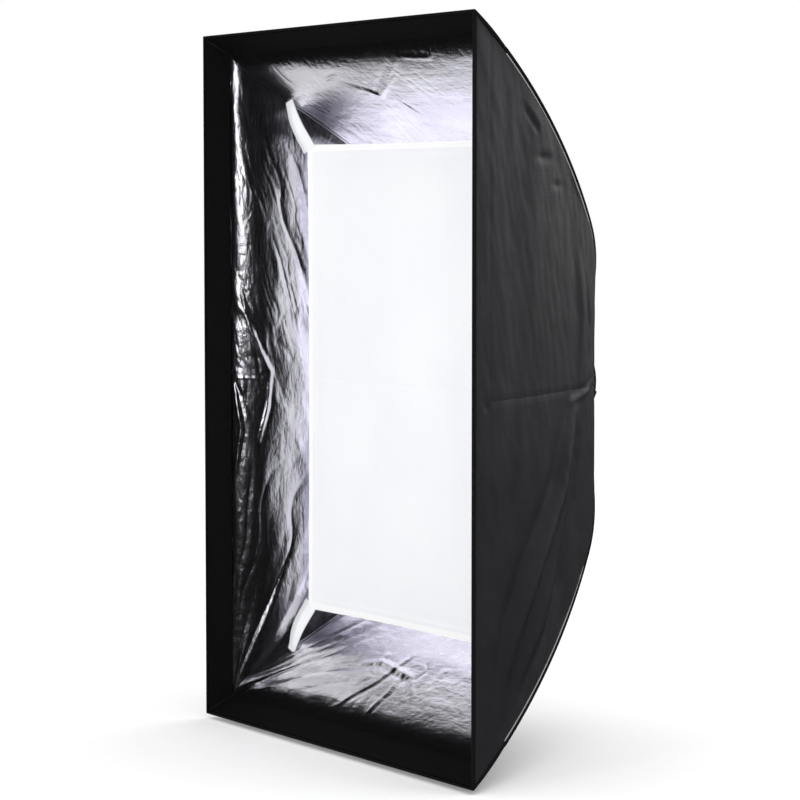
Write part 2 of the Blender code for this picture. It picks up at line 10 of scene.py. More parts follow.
import bmesh
import bpy
import numpy as np
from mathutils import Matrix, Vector


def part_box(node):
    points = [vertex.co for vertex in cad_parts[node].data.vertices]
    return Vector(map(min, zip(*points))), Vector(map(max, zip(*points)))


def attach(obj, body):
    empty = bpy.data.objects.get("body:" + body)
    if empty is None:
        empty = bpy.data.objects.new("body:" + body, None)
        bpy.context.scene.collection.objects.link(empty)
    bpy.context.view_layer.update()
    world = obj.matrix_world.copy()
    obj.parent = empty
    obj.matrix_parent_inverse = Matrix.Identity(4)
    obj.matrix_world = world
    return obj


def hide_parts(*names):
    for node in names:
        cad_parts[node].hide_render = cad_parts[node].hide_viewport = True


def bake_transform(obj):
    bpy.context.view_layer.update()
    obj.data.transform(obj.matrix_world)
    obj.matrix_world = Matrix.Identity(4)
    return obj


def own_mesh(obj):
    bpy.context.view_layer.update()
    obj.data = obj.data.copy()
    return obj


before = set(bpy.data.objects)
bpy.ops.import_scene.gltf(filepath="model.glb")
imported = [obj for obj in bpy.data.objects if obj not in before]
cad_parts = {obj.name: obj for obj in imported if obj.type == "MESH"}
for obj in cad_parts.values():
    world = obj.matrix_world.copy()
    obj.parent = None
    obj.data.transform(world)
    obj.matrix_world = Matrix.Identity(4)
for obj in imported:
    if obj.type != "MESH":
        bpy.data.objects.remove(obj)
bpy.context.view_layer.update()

# ---- sizes, from the frame and as in part.py -----------------------------------------------------
HALF_WIDTH = 0.40
HALF_HEIGHT = 0.60
FRONT_Y = -0.518
BOW_FRONT_RADIUS = 1.75
BOW_REAR_RADIUS = 0.42
BOW_FRONT_ANGLE = math.radians(35.0)
BOW_JOIN_ANGLE = math.radians(53.3)
PANEL_REAR_RADIUS = 0.191
LIP_DEPTH = 0.041
LIP_FRONT_DEPTH = 0.002
LIP_FRONT_INSET = 0.0055
LIP_REAR_INSET = 0.0084
LINING_INSET = 0.029
LINING_RAMP = 0.015
LINING_REAR_RADIUS = 0.155
BAFFLE_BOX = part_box("baffle")
SKIRT_HEM_RADIUS = 0.118
SKIRT_SIDE_RADIUS = 0.092
SKIRT_SIDE_Y = -0.034
SKIRT_BULGE = math.radians(24)
CLOTH = 0.0008                  # thickness of a layer
CHANNEL_REAR_DEPTH = 0.462      # where the rod channels end
SHELL_FOLD_ROOM = 0.0095        # room the lining leaves for the shell's inward folds
SPRING_WIRE = 0.00045           # radius of the wire

CORNER_RADIUS = math.hypot(HALF_WIDTH, HALF_HEIGHT)
DIAGONAL_X = HALF_WIDTH / CORNER_RADIUS
DIAGONAL_Z = HALF_HEIGHT / CORNER_RADIUS
FRONT_CENTRE = (-BOW_FRONT_RADIUS * math.sin(BOW_FRONT_ANGLE),
                CORNER_RADIUS - BOW_FRONT_RADIUS * math.cos(BOW_FRONT_ANGLE))
REAR_CENTRE = (FRONT_CENTRE[0] + (BOW_FRONT_RADIUS - BOW_REAR_RADIUS) * math.sin(BOW_JOIN_ANGLE),
               FRONT_CENTRE[1] + (BOW_FRONT_RADIUS - BOW_REAR_RADIUS) * math.cos(BOW_JOIN_ANGLE))
CORNERS = {"top_right": (1, 1), "top_left": (-1, 1), "bottom_left": (-1, -1), "bottom_right": (1, -1)}
HALVES = {
    "right": {1: "top_right", -1: "bottom_right"},
    "left": {1: "top_left", -1: "bottom_left"},
    "top": {1: "top_right", -1: "top_left"},
    "bottom": {1: "bottom_right", -1: "bottom_left"},
}
HUB = "speedring"
ROOM_SEEN = 1.0                 # brightness of the white room to the eye
ROOM_LIGHT = 1.07               # as light on matt surfaces
ROOM_MIRRORED = 0.006           # as seen in the lining


def bow_point(angle, inset):
    """(depth, radius) on the line that lies inset inside a corner seam."""
    rear = np.asarray(angle) > BOW_JOIN_ANGLE
    reach = np.where(rear, BOW_REAR_RADIUS, BOW_FRONT_RADIUS) - inset
    depth = np.where(rear, REAR_CENTRE[0], FRONT_CENTRE[0])
    radius = np.where(rear, REAR_CENTRE[1], FRONT_CENTRE[1])
    return reach * np.sin(angle) + depth, reach * np.cos(angle) + radius


def angle_at_depth(depth, inset=0.0):
    if depth > bow_point(BOW_JOIN_ANGLE, inset)[0]:
        return math.asin((depth - REAR_CENTRE[0]) / (BOW_REAR_RADIUS - inset))
    return math.asin((depth - FRONT_CENTRE[0]) / (BOW_FRONT_RADIUS - inset))


def angle_at_radius(radius, inset=0.0):
    if radius < bow_point(BOW_JOIN_ANGLE, inset)[1]:
        return math.acos((radius - REAR_CENTRE[1]) / (BOW_REAR_RADIUS - inset))
    return math.acos((radius - FRONT_CENTRE[1]) / (BOW_FRONT_RADIUS - inset))


def bow_angles(first, last, steps, bias=1.0):
    """Angles evenly spaced along the seam, or closer together at first when bias is over 1."""
    start, end = [
        (angle - BOW_JOIN_ANGLE) * (BOW_REAR_RADIUS if angle > BOW_JOIN_ANGLE else BOW_FRONT_RADIUS)
        for angle in (first, last)
    ]
    run = start + (end - start) * np.linspace(0, 1, steps) ** bias
    return BOW_JOIN_ANGLE + run / np.where(run > 0, BOW_REAR_RADIUS, BOW_FRONT_RADIUS)


# ---- noise and fold shapes, on cloth coordinates in metres ---------------------------------------
def smooth_step(low, high, value):
    t = np.clip((value - low) / (high - low), 0, 1)
    return t * t * (3 - 2 * t)


def noise(x, y, seed):
    """Smooth value noise from -1 to 1 with cells of unit size."""
    table = np.random.default_rng(seed).uniform(-1, 1, (64, 64))
    x0, y0 = np.floor(x).astype(int), np.floor(y).astype(int)
    fx, fy = x - x0, y - y0
    fx, fy = fx * fx * (3 - 2 * fx), fy * fy * (3 - 2 * fy)

    def cell(i, j):
        return table[(x0 + i) % 64, (y0 + j) % 64]

    low = cell(0, 0) * (1 - fx) + cell(1, 0) * fx
    high = cell(0, 1) * (1 - fx) + cell(1, 1) * fx
    return low * (1 - fy) + high * fy


def streaks(across, along, width, length, seed, sharp=3.0):
    """Narrow crests that run along one coordinate and repeat across the other."""
    warp = 0.6 * noise(along / length * 2.3, across / width * 0.35, seed + 7)
    ridge = 1 - np.abs(noise(across / width + warp, along / length, seed))
    return ridge ** sharp


def bump_at(s, w, place, size_s, size_w):
    return np.exp(-((s - place[0]) / size_s) ** 2 - ((w - place[1]) / size_w) ** 2)


def crease(s, w, points, width, height):
    """One fold along a line of (s, w) points: a crest with a shallow valley beside it."""
    result = np.zeros_like(s)
    total = len(points) - 1
    for i, (a, b) in enumerate(zip(points, points[1:])):
        run = np.array([b[0] - a[0], b[1] - a[1]])
        length = np.hypot(*run)
        run = run / length
        along = (s - a[0]) * run[0] + (w - a[1]) * run[1]
        side = -(s - a[0]) * run[1] + (w - a[1]) * run[0]
        t = np.clip(along / length, 0, 1)
        off = along - t * length
        distance = side ** 2 + off ** 2
        whole = (i + t) / total
        taper = np.sin(np.pi * np.clip(0.06 + 0.88 * whole, 0, 1)) ** 0.7
        valley = np.exp(-((side - 1.8 * width) ** 2 + off ** 2) / width ** 2)
        shape = np.exp(-distance / width ** 2) - 0.35 * valley
        result = np.where(np.abs(shape * taper) > np.abs(result), shape * taper, result)
    return result * height


def creases(s, w, folds):
    return sum(crease(s, w, line, width, height) for line, width, height in folds)


def fan(s, w, origin, heading, spread, pitch, reach, seed):
    """Tension folds that fan out from a point, about a heading in degrees, one every pitch degrees."""
    distance = np.hypot(s - origin[0], w - origin[1])
    turn = np.degrees(np.arctan2(w - origin[1], s - origin[0])) - heading
    turn = (turn + 180) % 360 - 180
    window = np.exp(-(turn / spread) ** 2 - (distance / reach) ** 2) * smooth_step(0, 0.04, distance)
    return window * (1 - np.abs(noise(turn / pitch, distance / 0.16, seed))) ** 2.5


# ---- cloth layers --------------------------------------------------------------------------------
class Layer:
    """One cloth layer of one side, from the front to the rear."""

    def __init__(self, side, depth, radius):
        self.side, self.depth, self.radius = side, np.asarray(depth), np.asarray(radius)
        self.lateral_share = DIAGONAL_X if side in ("right", "left") else DIAGONAL_Z
        self.across_share = DIAGONAL_Z if side in ("right", "left") else DIAGONAL_X
        lateral = self.radius * self.lateral_share
        steps = np.hypot(np.diff(self.depth), np.diff(lateral))
        self.s = np.concatenate([[0], np.cumsum(steps)])
        self.slope_lateral = np.gradient(lateral, self.s)
        self.slope_depth = np.gradient(self.depth, self.s)

    def points(self, v, height):
        """Places for a grid: rows run back, columns across. height lifts the cloth outward."""
        lateral = (self.radius * self.lateral_share)[:, None] + self.slope_depth[:, None] * height
        depth = self.depth[:, None] - self.slope_lateral[:, None] * height
        across = (self.radius * self.across_share)[:, None] * v[None, :] + 0 * height
        sign = 1 if self.side in ("right", "top") else -1
        y = FRONT_Y + depth
        if self.side in ("right", "left"):
            return np.stack([sign * lateral, y, across], -1)
        return np.stack([across, y, sign * lateral], -1)

    def cloth(self, v):
        """Cloth coordinates of the same grid."""
        s = np.repeat(self.s[:, None], len(v), 1)
        return s, (self.radius * self.across_share)[:, None] * v[None, :]


def grid_object(name, points, uv, flip=False):
    """A mesh from a grid of points, with its cloth coordinates as UVs in metres."""
    rows, columns = points.shape[:2]
    index = np.arange(rows * columns).reshape(rows, columns)
    quads = np.stack([index[:-1, :-1], index[1:, :-1], index[1:, 1:], index[:-1, 1:]], -1).reshape(-1, 4)
    if flip:
        quads = quads[:, ::-1]
    mesh = bpy.data.meshes.new(name)
    mesh.from_pydata(points.reshape(-1, 3).tolist(), [], quads.tolist())
    layer = mesh.uv_layers.new(name="cloth")
    flat = np.stack([uv[0], uv[1]], -1).reshape(-1, 2)[quads.reshape(-1)]
    layer.data.foreach_set("uv", flat.astype(np.float32).ravel())
    mesh.shade_smooth()
    mesh.update()
    edges = np.empty(len(mesh.loops), dtype=np.int32)
    mesh.loops.foreach_get("edge_index", edges)
    border = np.bincount(edges, minlength=len(mesh.edges)) == 1
    mesh.attributes.new("sharp_edge", "BOOLEAN", "EDGE").data.foreach_set("value", border)
    item = bpy.data.objects.new(name, mesh)
    bpy.context.scene.collection.objects.link(item)
    return item


def thicken(item, thickness, offset=-1):
    solidify = item.modifiers.new("cloth_thickness", "SOLIDIFY")
    solidify.thickness = thickness
    solidify.offset = offset
    return item


def follow_rod(item):
    """Bakes the cloth's placement into its mesh."""
    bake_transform(item)


def side_cloth(kind, layer, columns, height, material, node, facing_in, thickness=CLOTH):
    """Both halves of a layer of one side. height(s, w, v) is how far the cloth stands out."""
    side = layer.side
    made = []
    for half, corner in HALVES[side].items():
        v = half * np.linspace(0, 1, columns)
        s, w = layer.cloth(v)
        lift = height(s, w, np.abs(v)[None, :] + 0 * s)
        points = layer.points(v, lift)
        flip = (side in ("left", "top")) != (half < 0)
        item = grid_object(f"{kind}_{side}_{corner.replace(side, '').strip('_')}", points, (s, w),
                           flip=flip != facing_in)
        item.data.materials.append(material)
        follow_rod(item)
        thicken(item, thickness)
        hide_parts(node)
        layer.points(v, 0 * lift)
        made.append(item)
    return made


def tube_object(name, points, radii, material, segments=12, squash=1.0, across=None):
    """A capped tube along points, with a radius at each. squash flattens it across the given direction."""
    points = [Vector(point) for point in points]
    radii = np.broadcast_to(radii, len(points))
    bm = bmesh.new()
    rings = []
    up = Vector(across) if across is not None else Vector((0.31, 0.11, 0.94))
    for i, point in enumerate(points):
        along = (points[min(i + 1, len(points) - 1)] - points[max(i - 1, 0)]).normalized()
        side = along.cross(up).normalized()
        rise = side.cross(along).normalized()
        ring = []
        for k in range(segments):
            turn = math.tau * k / segments
            offset = side * math.cos(turn) + rise * math.sin(turn) * squash
            ring.append(bm.verts.new(point + offset * radii[i]))
        rings.append(ring)
    for near, far in zip(rings, rings[1:]):
        for k in range(segments):
            j = (k + 1) % segments
            bm.faces.new((near[k], near[j], far[j], far[k]))
    bm.faces.new(rings[0][::-1])
    bm.faces.new(rings[-1])
    bmesh.ops.recalc_face_normals(bm, faces=bm.faces)
    mesh = bpy.data.meshes.new(name)
    bm.to_mesh(mesh)
    bm.free()
    mesh.shade_smooth()
    item = bpy.data.objects.new(name, mesh)
    bpy.context.scene.collection.objects.link(item)
    item.data.materials.append(material)
    return item


# ---- materials -----------------------------------------------------------------------------------
class Nodes:
    """Short names for building a node tree."""

    def __init__(self, name):
        self.material = bpy.data.materials.new(name)
        self.material.use_nodes = True
        self.tree = self.material.node_tree
        self.shader = self.tree.nodes["Principled BSDF"]

    def add(self, kind, **inputs):
        node = self.tree.nodes.new(kind)
        for key, value in inputs.items():
            if key in node.bl_rna.properties:
                setattr(node, key, value)
        return node

    def link(self, source, target):
        self.tree.links.new(source, target)

    def cloth(self, scale_u, scale_v):
        uv = self.add("ShaderNodeUVMap", uv_map="cloth")
        mapping = self.add("ShaderNodeMapping")
        mapping.inputs["Scale"].default_value = (scale_u, scale_v, 1)
        self.link(uv.outputs["UV"], mapping.inputs["Vector"])
        return mapping.outputs["Vector"]

    def solid(self, scale):
        coordinates = self.add("ShaderNodeTexCoord")
        mapping = self.add("ShaderNodeMapping")
        mapping.inputs["Scale"].default_value = (scale, scale, scale)
        self.link(coordinates.outputs["Object"], mapping.inputs["Vector"])
        return mapping.outputs["Vector"]

    def noise(self, vector, scale, detail=3.0, rough=0.5):
        node = self.add("ShaderNodeTexNoise")
        node.inputs["Scale"].default_value = scale
        node.inputs["Detail"].default_value = detail
        node.inputs["Roughness"].default_value = rough
        self.link(vector, node.inputs["Vector"])
        return node.outputs["Fac"]

    def wave(self, vector, scale, direction):
        node = self.add("ShaderNodeTexWave", bands_direction=direction)
        node.inputs["Scale"].default_value = scale
        node.inputs["Distortion"].default_value = 0.3
        node.inputs["Detail Scale"].default_value = 3.0
        self.link(vector, node.inputs["Vector"])
        return node.outputs["Fac"]

    def voronoi(self, vector, scale, feature="DISTANCE_TO_EDGE"):
        node = self.add("ShaderNodeTexVoronoi", feature=feature)
        node.inputs["Scale"].default_value = scale
        self.link(vector, node.inputs["Vector"])
        return node.outputs["Distance"]

    def math(self, operation, a, b):
        node = self.add("ShaderNodeMath", operation=operation)
        for socket, value in zip(node.inputs, (a, b)):
            if isinstance(value, (int, float)):
                socket.default_value = value
            else:
                self.link(value, socket)
        return node.outputs[0]

    def ramp(self, factor, stops):
        node = self.add("ShaderNodeValToRGB")
        ramp = node.color_ramp
        while len(ramp.elements) < len(stops):
            ramp.elements.new(0.5)
        for element, (position, color) in zip(ramp.elements, stops):
            element.position = position
            element.color = (*color, 1) if len(color) == 3 else color
        self.link(factor, node.inputs["Fac"])
        return node.outputs["Color"]

    def range(self, factor, low, high):
        node = self.add("ShaderNodeMapRange")
        node.inputs["To Min"].default_value = low
        node.inputs["To Max"].default_value = high
        self.link(factor, node.inputs["Value"])
        return node.outputs["Result"]

    def past(self, vector, axis, low, high):
        """0 to 1 as one coordinate's size goes from low to high."""
        split = self.add("ShaderNodeSeparateXYZ")
        self.link(vector, split.inputs[0])
        node = self.add("ShaderNodeMapRange")
        node.inputs["From Min"].default_value = low
        node.inputs["From Max"].default_value = high
        self.link(self.math("ABSOLUTE", split.outputs[axis], 0.0), node.inputs["Value"])
        return node.outputs["Result"]

    def mix(self, factor, first, second):
        """A colour that goes from the first to the second; either may be a plain colour."""
        node = self.add("ShaderNodeMix", data_type="RGBA")
        self.link(factor, node.inputs[0])
        for socket, value in ((node.inputs[6], first), (node.inputs[7], second)):
            if isinstance(value, tuple):
                socket.default_value = (*value, 1)
            else:
                self.link(value, socket)
        return node.outputs[2]

    def bump(self, height, distance, strength=1.0, normal=None):
        node = self.add("ShaderNodeBump")
        node.inputs["Distance"].default_value = distance
        node.inputs["Strength"].default_value = strength
        self.link(height, node.inputs["Height"])
        if normal:
            self.link(normal, node.inputs["Normal"])
        return node.outputs["Normal"]

    def finish(self, color=None, rough=None, normal=None, **values):
        for name, source in (("Base Color", color), ("Roughness", rough), ("Normal", normal)):
            if source is not None:
                self.link(source, self.shader.inputs[name])
        for name, value in values.items():
            self.shader.inputs[name.replace("_", " ").title().replace("Ior", "IOR")].default_value = value
        return self.material


def woven_height(nodes, threads_per_m):
    """Warp and weft of a plain weave, as heights."""
    vector = nodes.cloth(1, 1)
    scale = threads_per_m / 20
    warp = nodes.wave(vector, scale, "X")
    weft = nodes.wave(vector, scale, "Y")
    return nodes.math("MAXIMUM", warp, weft)


def shell_nylon():
    """Black satin nylon: fine weave, a soft sheen and rubbed patches."""
    n = Nodes("shell_nylon")
    patches = n.noise(n.solid(1), 6.0, 4.0, 0.6)
    color = n.ramp(patches, [(0.3, (0.015, 0.0142, 0.018)), (0.7, (0.022, 0.021, 0.026))])
    rough = n.range(n.noise(n.solid(1), 38.0, 5.0, 0.6), 0.46, 0.60)
    edge = n.past(n.cloth(1, 1), "X", 0.011, 0.013)
    color = n.mix(edge, (0.004, 0.004, 0.0045), color)
    rough = n.math("MAXIMUM", rough, n.math("SUBTRACT", 0.95, edge))
    puckers = n.bump(n.noise(n.solid(1), 24.0, 4.0, 0.55), 0.0016, 0.55)
    normal = n.bump(woven_height(n, 900), 0.00012, 0.5, puckers)
    return n.finish(color, rough, normal, specular_ior_level=0.5)


def silver_foil():
    """Metallised lining: foil crinkle over an embossed grid, with a cool cast."""
    n = Nodes("silver_foil")
    tint = n.noise(n.solid(1), 9.0, 4.0, 0.6)
    color = n.ramp(tint, [(0.25, (0.66, 0.65, 0.71)), (0.75, (0.80, 0.79, 0.84))])
    rough = n.range(n.noise(n.solid(1), 60.0, 4.0, 0.6), 0.15, 0.26)
    crinkle = n.bump(n.noise(n.cloth(26, 9), 1.0, 7.0, 0.62), 0.006, 0.5)
    facets = n.bump(n.voronoi(n.cloth(1, 1), 46.0), 0.0022, 0.25, crinkle)
    normal = n.bump(woven_height(n, 330), 0.00016, 0.55, facets)
    return n.finish(color, rough, normal, metallic=1.0)


def loop_band():
    """Black loop pile of the front band."""
    n = Nodes("loop_band")
    pile = n.noise(n.solid(1), 900.0, 4.0, 0.7)
    color = n.ramp(pile, [(0.3, (0.002, 0.002, 0.0022)), (0.75, (0.007, 0.007, 0.008))])
    normal = n.bump(pile, 0.0006, 0.8)
    rough = n.range(pile, 0.9, 1.0)
    return n.finish(color, rough, normal, specular_ior_level=0.1)


def diffuser_cloth():
    """White ripstop of the inner diffuser."""
    n = Nodes("diffuser_cloth")
    tone = n.noise(n.solid(1), 5.0, 3.0, 0.5)
    body = n.ramp(tone, [(0.3, (0.86, 0.875, 0.905)), (0.7, (0.90, 0.91, 0.93))])
    side_hem = n.past(n.cloth(1, 1), "X", 0.2815, 0.2835)
    end_hem = n.past(n.cloth(1, 1), "Y", 0.396, 0.398)
    hem = n.math("MAXIMUM", side_hem, end_hem)
    color = n.mix(hem, body, (0.97, 0.97, 0.975))
    rough = n.range(n.noise(n.solid(1), 80.0), 0.6, 0.8)
    creases = n.bump(n.noise(n.cloth(16, 1.5), 1.0, 4.0, 0.5), 0.008, 0.5)
    normal = n.bump(woven_height(n, 700), 0.0001, 0.5, creases)
    return n.finish(color, rough, normal, sheen_weight=0.1)


def metal(name, dark, light, rough_low, rough_high, metallic, grain):
    n = Nodes(name)
    cast = n.noise(n.solid(1), grain, 4.0, 0.6)
    color = n.ramp(cast, [(0.3, dark), (0.7, light)])
    rough = n.range(n.noise(n.solid(1), grain * 0.4, 3.0), rough_low, rough_high)
    return n.finish(color, rough, n.bump(cast, 0.0002, 0.3), metallic=metallic)


def plastic(name, dark, light, rough_low, rough_high):
    n = Nodes(name)
    grain = n.noise(n.solid(1), 1400.0, 3.0, 0.6)
    color = n.ramp(n.noise(n.solid(1), 40.0), [(0.3, dark), (0.7, light)])
    rough = n.range(grain, rough_low, rough_high)
    return n.finish(color, rough, n.bump(grain, 0.0001, 0.4))


SHELL = shell_nylon()
SILVER = silver_foil()
BAND = loop_band()
DIFFUSER = diffuser_cloth()
CAST_BLACK = metal("cast_black", (0.012, 0.012, 0.013), (0.022, 0.022, 0.024), 0.35, 0.5, 0.3, 700.0)
MACHINED = metal("machined_alloy", (0.55, 0.55, 0.57), (0.66, 0.66, 0.68), 0.25, 0.38, 1.0, 300.0)
PLATED = metal("plated_steel", (0.5, 0.5, 0.52), (0.62, 0.62, 0.64), 0.18, 0.3, 1.0, 400.0)
BLACK_PLASTIC = plastic("black_plastic", (0.014, 0.014, 0.015), (0.022, 0.022, 0.023), 0.4, 0.55)
GREY_PLASTIC = plastic("grey_plastic", (0.2, 0.2, 0.21), (0.27, 0.27, 0.28), 0.35, 0.5)
# light grey plastic for the thin cord along each corner seam, which paints the highlight on the rod
# channel's edge
PAINTED_HIGHLIGHT = plastic("grey_painted_highlight", (0.26, 0.26, 0.27), (0.36, 0.36, 0.37), 0.5, 0.65)


# ---- outer shell ---------------------------------------------------------------------------------
def shell_profile(steps):
    """The rolled front edge, then the corner arc back to the rear."""
    roll = 0.003
    roll_turns = np.linspace(math.radians(-60), math.radians(78), 7)
    depth_0, radius_0 = bow_point(angle_at_depth(roll), roll)
    roll_depth = depth_0 - roll * np.cos(roll_turns)
    roll_radius = radius_0 + roll * np.sin(roll_turns)
    angles = bow_angles(angle_at_depth(roll * 1.2), angle_at_radius(PANEL_REAR_RADIUS), steps)
    depth, radius = bow_point(angles, 0.0)
    return np.concatenate([roll_depth, depth]), np.concatenate([roll_radius, radius])


# listed folds: the line of (s, w) points, the width and the height of each, in metres
TALL_SHELL_FOLDS = [
    ([(0.06, -0.51), (0.125, -0.38), (0.22, -0.26), (0.32, -0.155), (0.38, -0.04)], 0.020, 0.0125),
    ([(0.16, -0.47), (0.26, -0.38), (0.316, -0.30), (0.375, -0.18), (0.40, -0.08)], 0.013, -0.0065),
    ([(0.09, -0.30), (0.15, -0.15), (0.17, 0.05)], 0.022, 0.003),
    ([(0.41, 0.02), (0.425, 0.12), (0.40, 0.22)], 0.012, 0.003),
    ([(0.45, 0.0), (0.46, 0.10), (0.44, 0.18)], 0.008, -0.003),
    ([(0.165, 0.455), (0.21, 0.42)], 0.006, -0.003),
    ([(0.36, -0.02), (0.42, -0.012), (0.48, 0.006)], 0.006, 0.002),
]
WIDE_SHELL_FOLDS = [([(0.10, -0.20), (0.25, -0.05), (0.38, 0.02)], 0.02, 0.003)]


def shell_height(side):
    """A bowed middle, sheen bands, the packing crease, the stitch line and pulls towards the corners."""
    tall = side in ("right", "left")

    def height(s, w, v):
        back = np.clip(s / s[-1, 0], 0, 1)
        sag = -0.0035 * (1 - v ** 2) * np.sin(np.pi * back) ** 0.8 * smooth_step(0.03, 0.16, s)
        stitch = -0.0005 * np.exp(-((s - 0.052) / 0.0022) ** 2)
        pucker = 0.0005 * noise(s / 0.02, w / 0.03 + s / 0.02, 13) * smooth_step(0.006, 0.02, s)
        bands = 0.0028 * noise(s / 0.075 + 0.12 * w, w / 0.5, 11) + 0.0008 * noise(s / 0.04, w / 0.14, 12)
        packing = -0.0008 * np.exp(-(w / 0.005) ** 2) * smooth_step(0.02, 0.05, s)
        if tall:
            folds = creases(s, w, TALL_SHELL_FOLDS)
            folds -= 0.0032 * bump_at(s, w, (0.237, 0.378), 0.028, 0.007)
            folds -= 0.0020 * bump_at(s, w, (0.290, 0.335), 0.020, 0.006)
            stitch = stitch - 0.003 * bump_at(s, w, (0.044, -0.008), 0.006, 0.006)
        else:
            folds = creases(s, w, WIDE_SHELL_FOLDS) + 0.002 * fan(s, w, (0.0, 0.37), 202, 25, 7, 0.25, 14)
        free = smooth_step(0.055, 0.12, s) * smooth_step(0, 0.07, 1 - v)
        return sag + stitch + pucker * smooth_step(0, 0.05, 1 - v) + packing + (bands + folds) * free
    return height


def make_shell():
    for side in HALVES:
        depth, radius = shell_profile(116)
        side_cloth("shell", Layer(side, depth, radius), 120, shell_height(side), SHELL,
                   f"panel_{side}", facing_in=False)


# ---- front band ----------------------------------------------------------------------------------
def make_band():
    for side in HALVES:
        share = np.linspace(0, 1, 14)
        front = bow_point(angle_at_depth(LIP_FRONT_DEPTH, LIP_FRONT_INSET), LIP_FRONT_INSET)
        rear = bow_point(angle_at_depth(LIP_DEPTH, LIP_REAR_INSET), LIP_REAR_INSET)
        depth, radius = [near + (far - near) * share for near, far in zip(front, rear)]
        layer = Layer(side, depth, radius)

        def height(s, w, v):
            quilt = -0.0006 * (np.exp(-((s - 0.004) / 0.0012) ** 2) + np.exp(-((s - 0.039) / 0.0012) ** 2))
            return quilt + 0.0007 * noise(s / 0.03, w / 0.07, 21) * smooth_step(0, 0.05, 1 - v)

        side_cloth("band", layer, 90, height, BAND, f"lip_{side}", facing_in=True,
                   thickness=0.0014)


# ---- silver lining -------------------------------------------------------------------------------
def lining_profile(steps):
    """The lining's line along a corner, with most of its steps in the part that shows."""
    first = angle_at_depth(LIP_DEPTH - 0.005, LIP_REAR_INSET)
    shown = angle_at_depth(0.20, LIP_REAR_INSET)
    last = angle_at_radius(LINING_REAR_RADIUS, LINING_INSET)
    near = round(steps * 0.72)
    hidden = bow_angles(shown, last, steps - near + 1)
    angles = np.concatenate([bow_angles(first, shown, near)[:-1], hidden])
    depth = bow_point(angles, LIP_REAR_INSET)[0]
    start = LIP_REAR_INSET - 0.0024
    behind_band = np.clip(depth - LIP_DEPTH, 0, None)
    inset = start + (LINING_INSET - start) * (1 - np.exp(-behind_band / LINING_RAMP))
    return bow_point(angles, inset)


UPRIGHT_LINING_CREASES = [
    ([(0.03, 0.12), (0.06, 0.04), (0.075, 0.012)], 0.004, -0.0025),
    ([(0.075, 0.012), (0.07, -0.05), (0.055, -0.11)], 0.0035, -0.0022),
    ([(0.01, 0.0), (0.025, -0.09), (0.01, -0.2)], 0.0035, -0.002),
]
TOP_LINING_CREASES = [
    ([(0.085, -0.10), (0.125, -0.035), (0.035, 0.12)], 0.0055, -0.0018),
    ([(0.035, 0.12), (0.042, 0.20), (0.0, 0.27)], 0.0045, -0.0014),
    ([(0.10, -0.06), (0.125, -0.03), (0.07, 0.08)], 0.004, -0.0012),
    ([(0.075, -0.14), (0.062, -0.09)], 0.003, -0.0014),
    ([(0.14, 0.0), (0.20, 0.02)], 0.0025, -0.0010),
]
BOTTOM_LINING_CREASES = [
    ([(0.04, -0.06), (0.10, -0.02), (0.18, 0.0)], 0.006, -0.0019),
    ([(0.12, -0.16), (0.15, -0.06), (0.13, 0.05), (0.09, 0.10)], 0.006, -0.0018),
    ([(0.03, 0.03), (0.09, 0.035), (0.14, 0.02)], 0.005, -0.0014),
]


def upright_lining_folds(s, w, v):
    """Left and right lining: streaks that lean back as they fall, and a fan from the lower corner."""
    low = smooth_step(-0.02, -0.24, w)
    lean = s + 0.28 * (w - 0.25)
    below_corner = 0.15 + 0.85 * smooth_step(0.46, 0.32, w)
    patches = smooth_step(-0.45, 0.35, noise(lean / 0.07, w / 0.13, 39))
    upper = 0.0021 * streaks(lean, w, 0.021, 0.16, 31) + 0.0008 * streaks(lean, w, 0.008, 0.07, 32)
    upper = upper * patches * below_corner + 0.0028 * noise(lean / 0.034, w / 0.22, 33)

    turn = -0.38 * np.arctan2(w + 0.64, s + 0.02)
    reach = np.hypot(s, w + 0.64)
    lower = 0.0034 * noise(turn / 0.034, reach / 0.25, 38) + 0.0014 * streaks(turn, reach, 0.028, 0.2, 34)

    folds = upper * (1 - low) + lower * low + creases(s, w, UPRIGHT_LINING_CREASES)
    folds += 0.0016 * noise(s / 0.035, w / 0.03, 35) * smooth_step(0.36, 0.46, w)
    folds += 0.0030 * fan(s, w, (-0.01, -0.60), 58, 22, 7, 0.2, 37)

    # pulled in behind the band, then out again, so that it mirrors the inner diffuser beside it
    turned = 0.0175 * smooth_step(0.075, 0.175, s + 0.020 * noise(w / 0.10, s / 0.3, 36))
    base = turned * smooth_step(0.50, 0.36, w) - 0.010 * smooth_step(0.0, 0.07, s)
    middle = -0.0004 * np.exp(-(w / 0.003) ** 2)
    return folds + base * (1 - v ** 6) + middle


def top_lining_folds(s, w, v):
    """Top lining: a tight fan along the left seam and the creases beside it."""
    folds = 0.0016 * fan(s, w, (0.0, -0.385), 32, 11, 2.2, 0.30, 41)
    folds += 0.0010 * noise(s / 0.08, w / 0.10, 42) + 0.0004 * streaks(w, s, 0.02, 0.12, 43)
    folds += creases(s, w, TOP_LINING_CREASES)
    return folds + 0.008 * smooth_step(0.08, 0.25, s) * (1 - v ** 4)


def bottom_lining_folds(s, w, v):
    """Bottom lining: a wide fan from the left corner and a star of creases near the middle."""
    folds = 0.0040 * fan(s, w, (-0.01, -0.40), 55, 24, 7, 0.32, 51)
    folds += 0.0010 * noise(s / 0.07, w / 0.09, 52)
    near_middle = bump_at(s, w, (0.13, -0.01), 0.07, 0.13)
    folds += 0.0015 * near_middle * streaks(w + 0.4 * s, s, 0.022, 0.05, 53, 2.0)
    folds += creases(s, w, BOTTOM_LINING_CREASES)
    return folds + 0.006 * smooth_step(0.08, 0.25, s) * (1 - v ** 4)


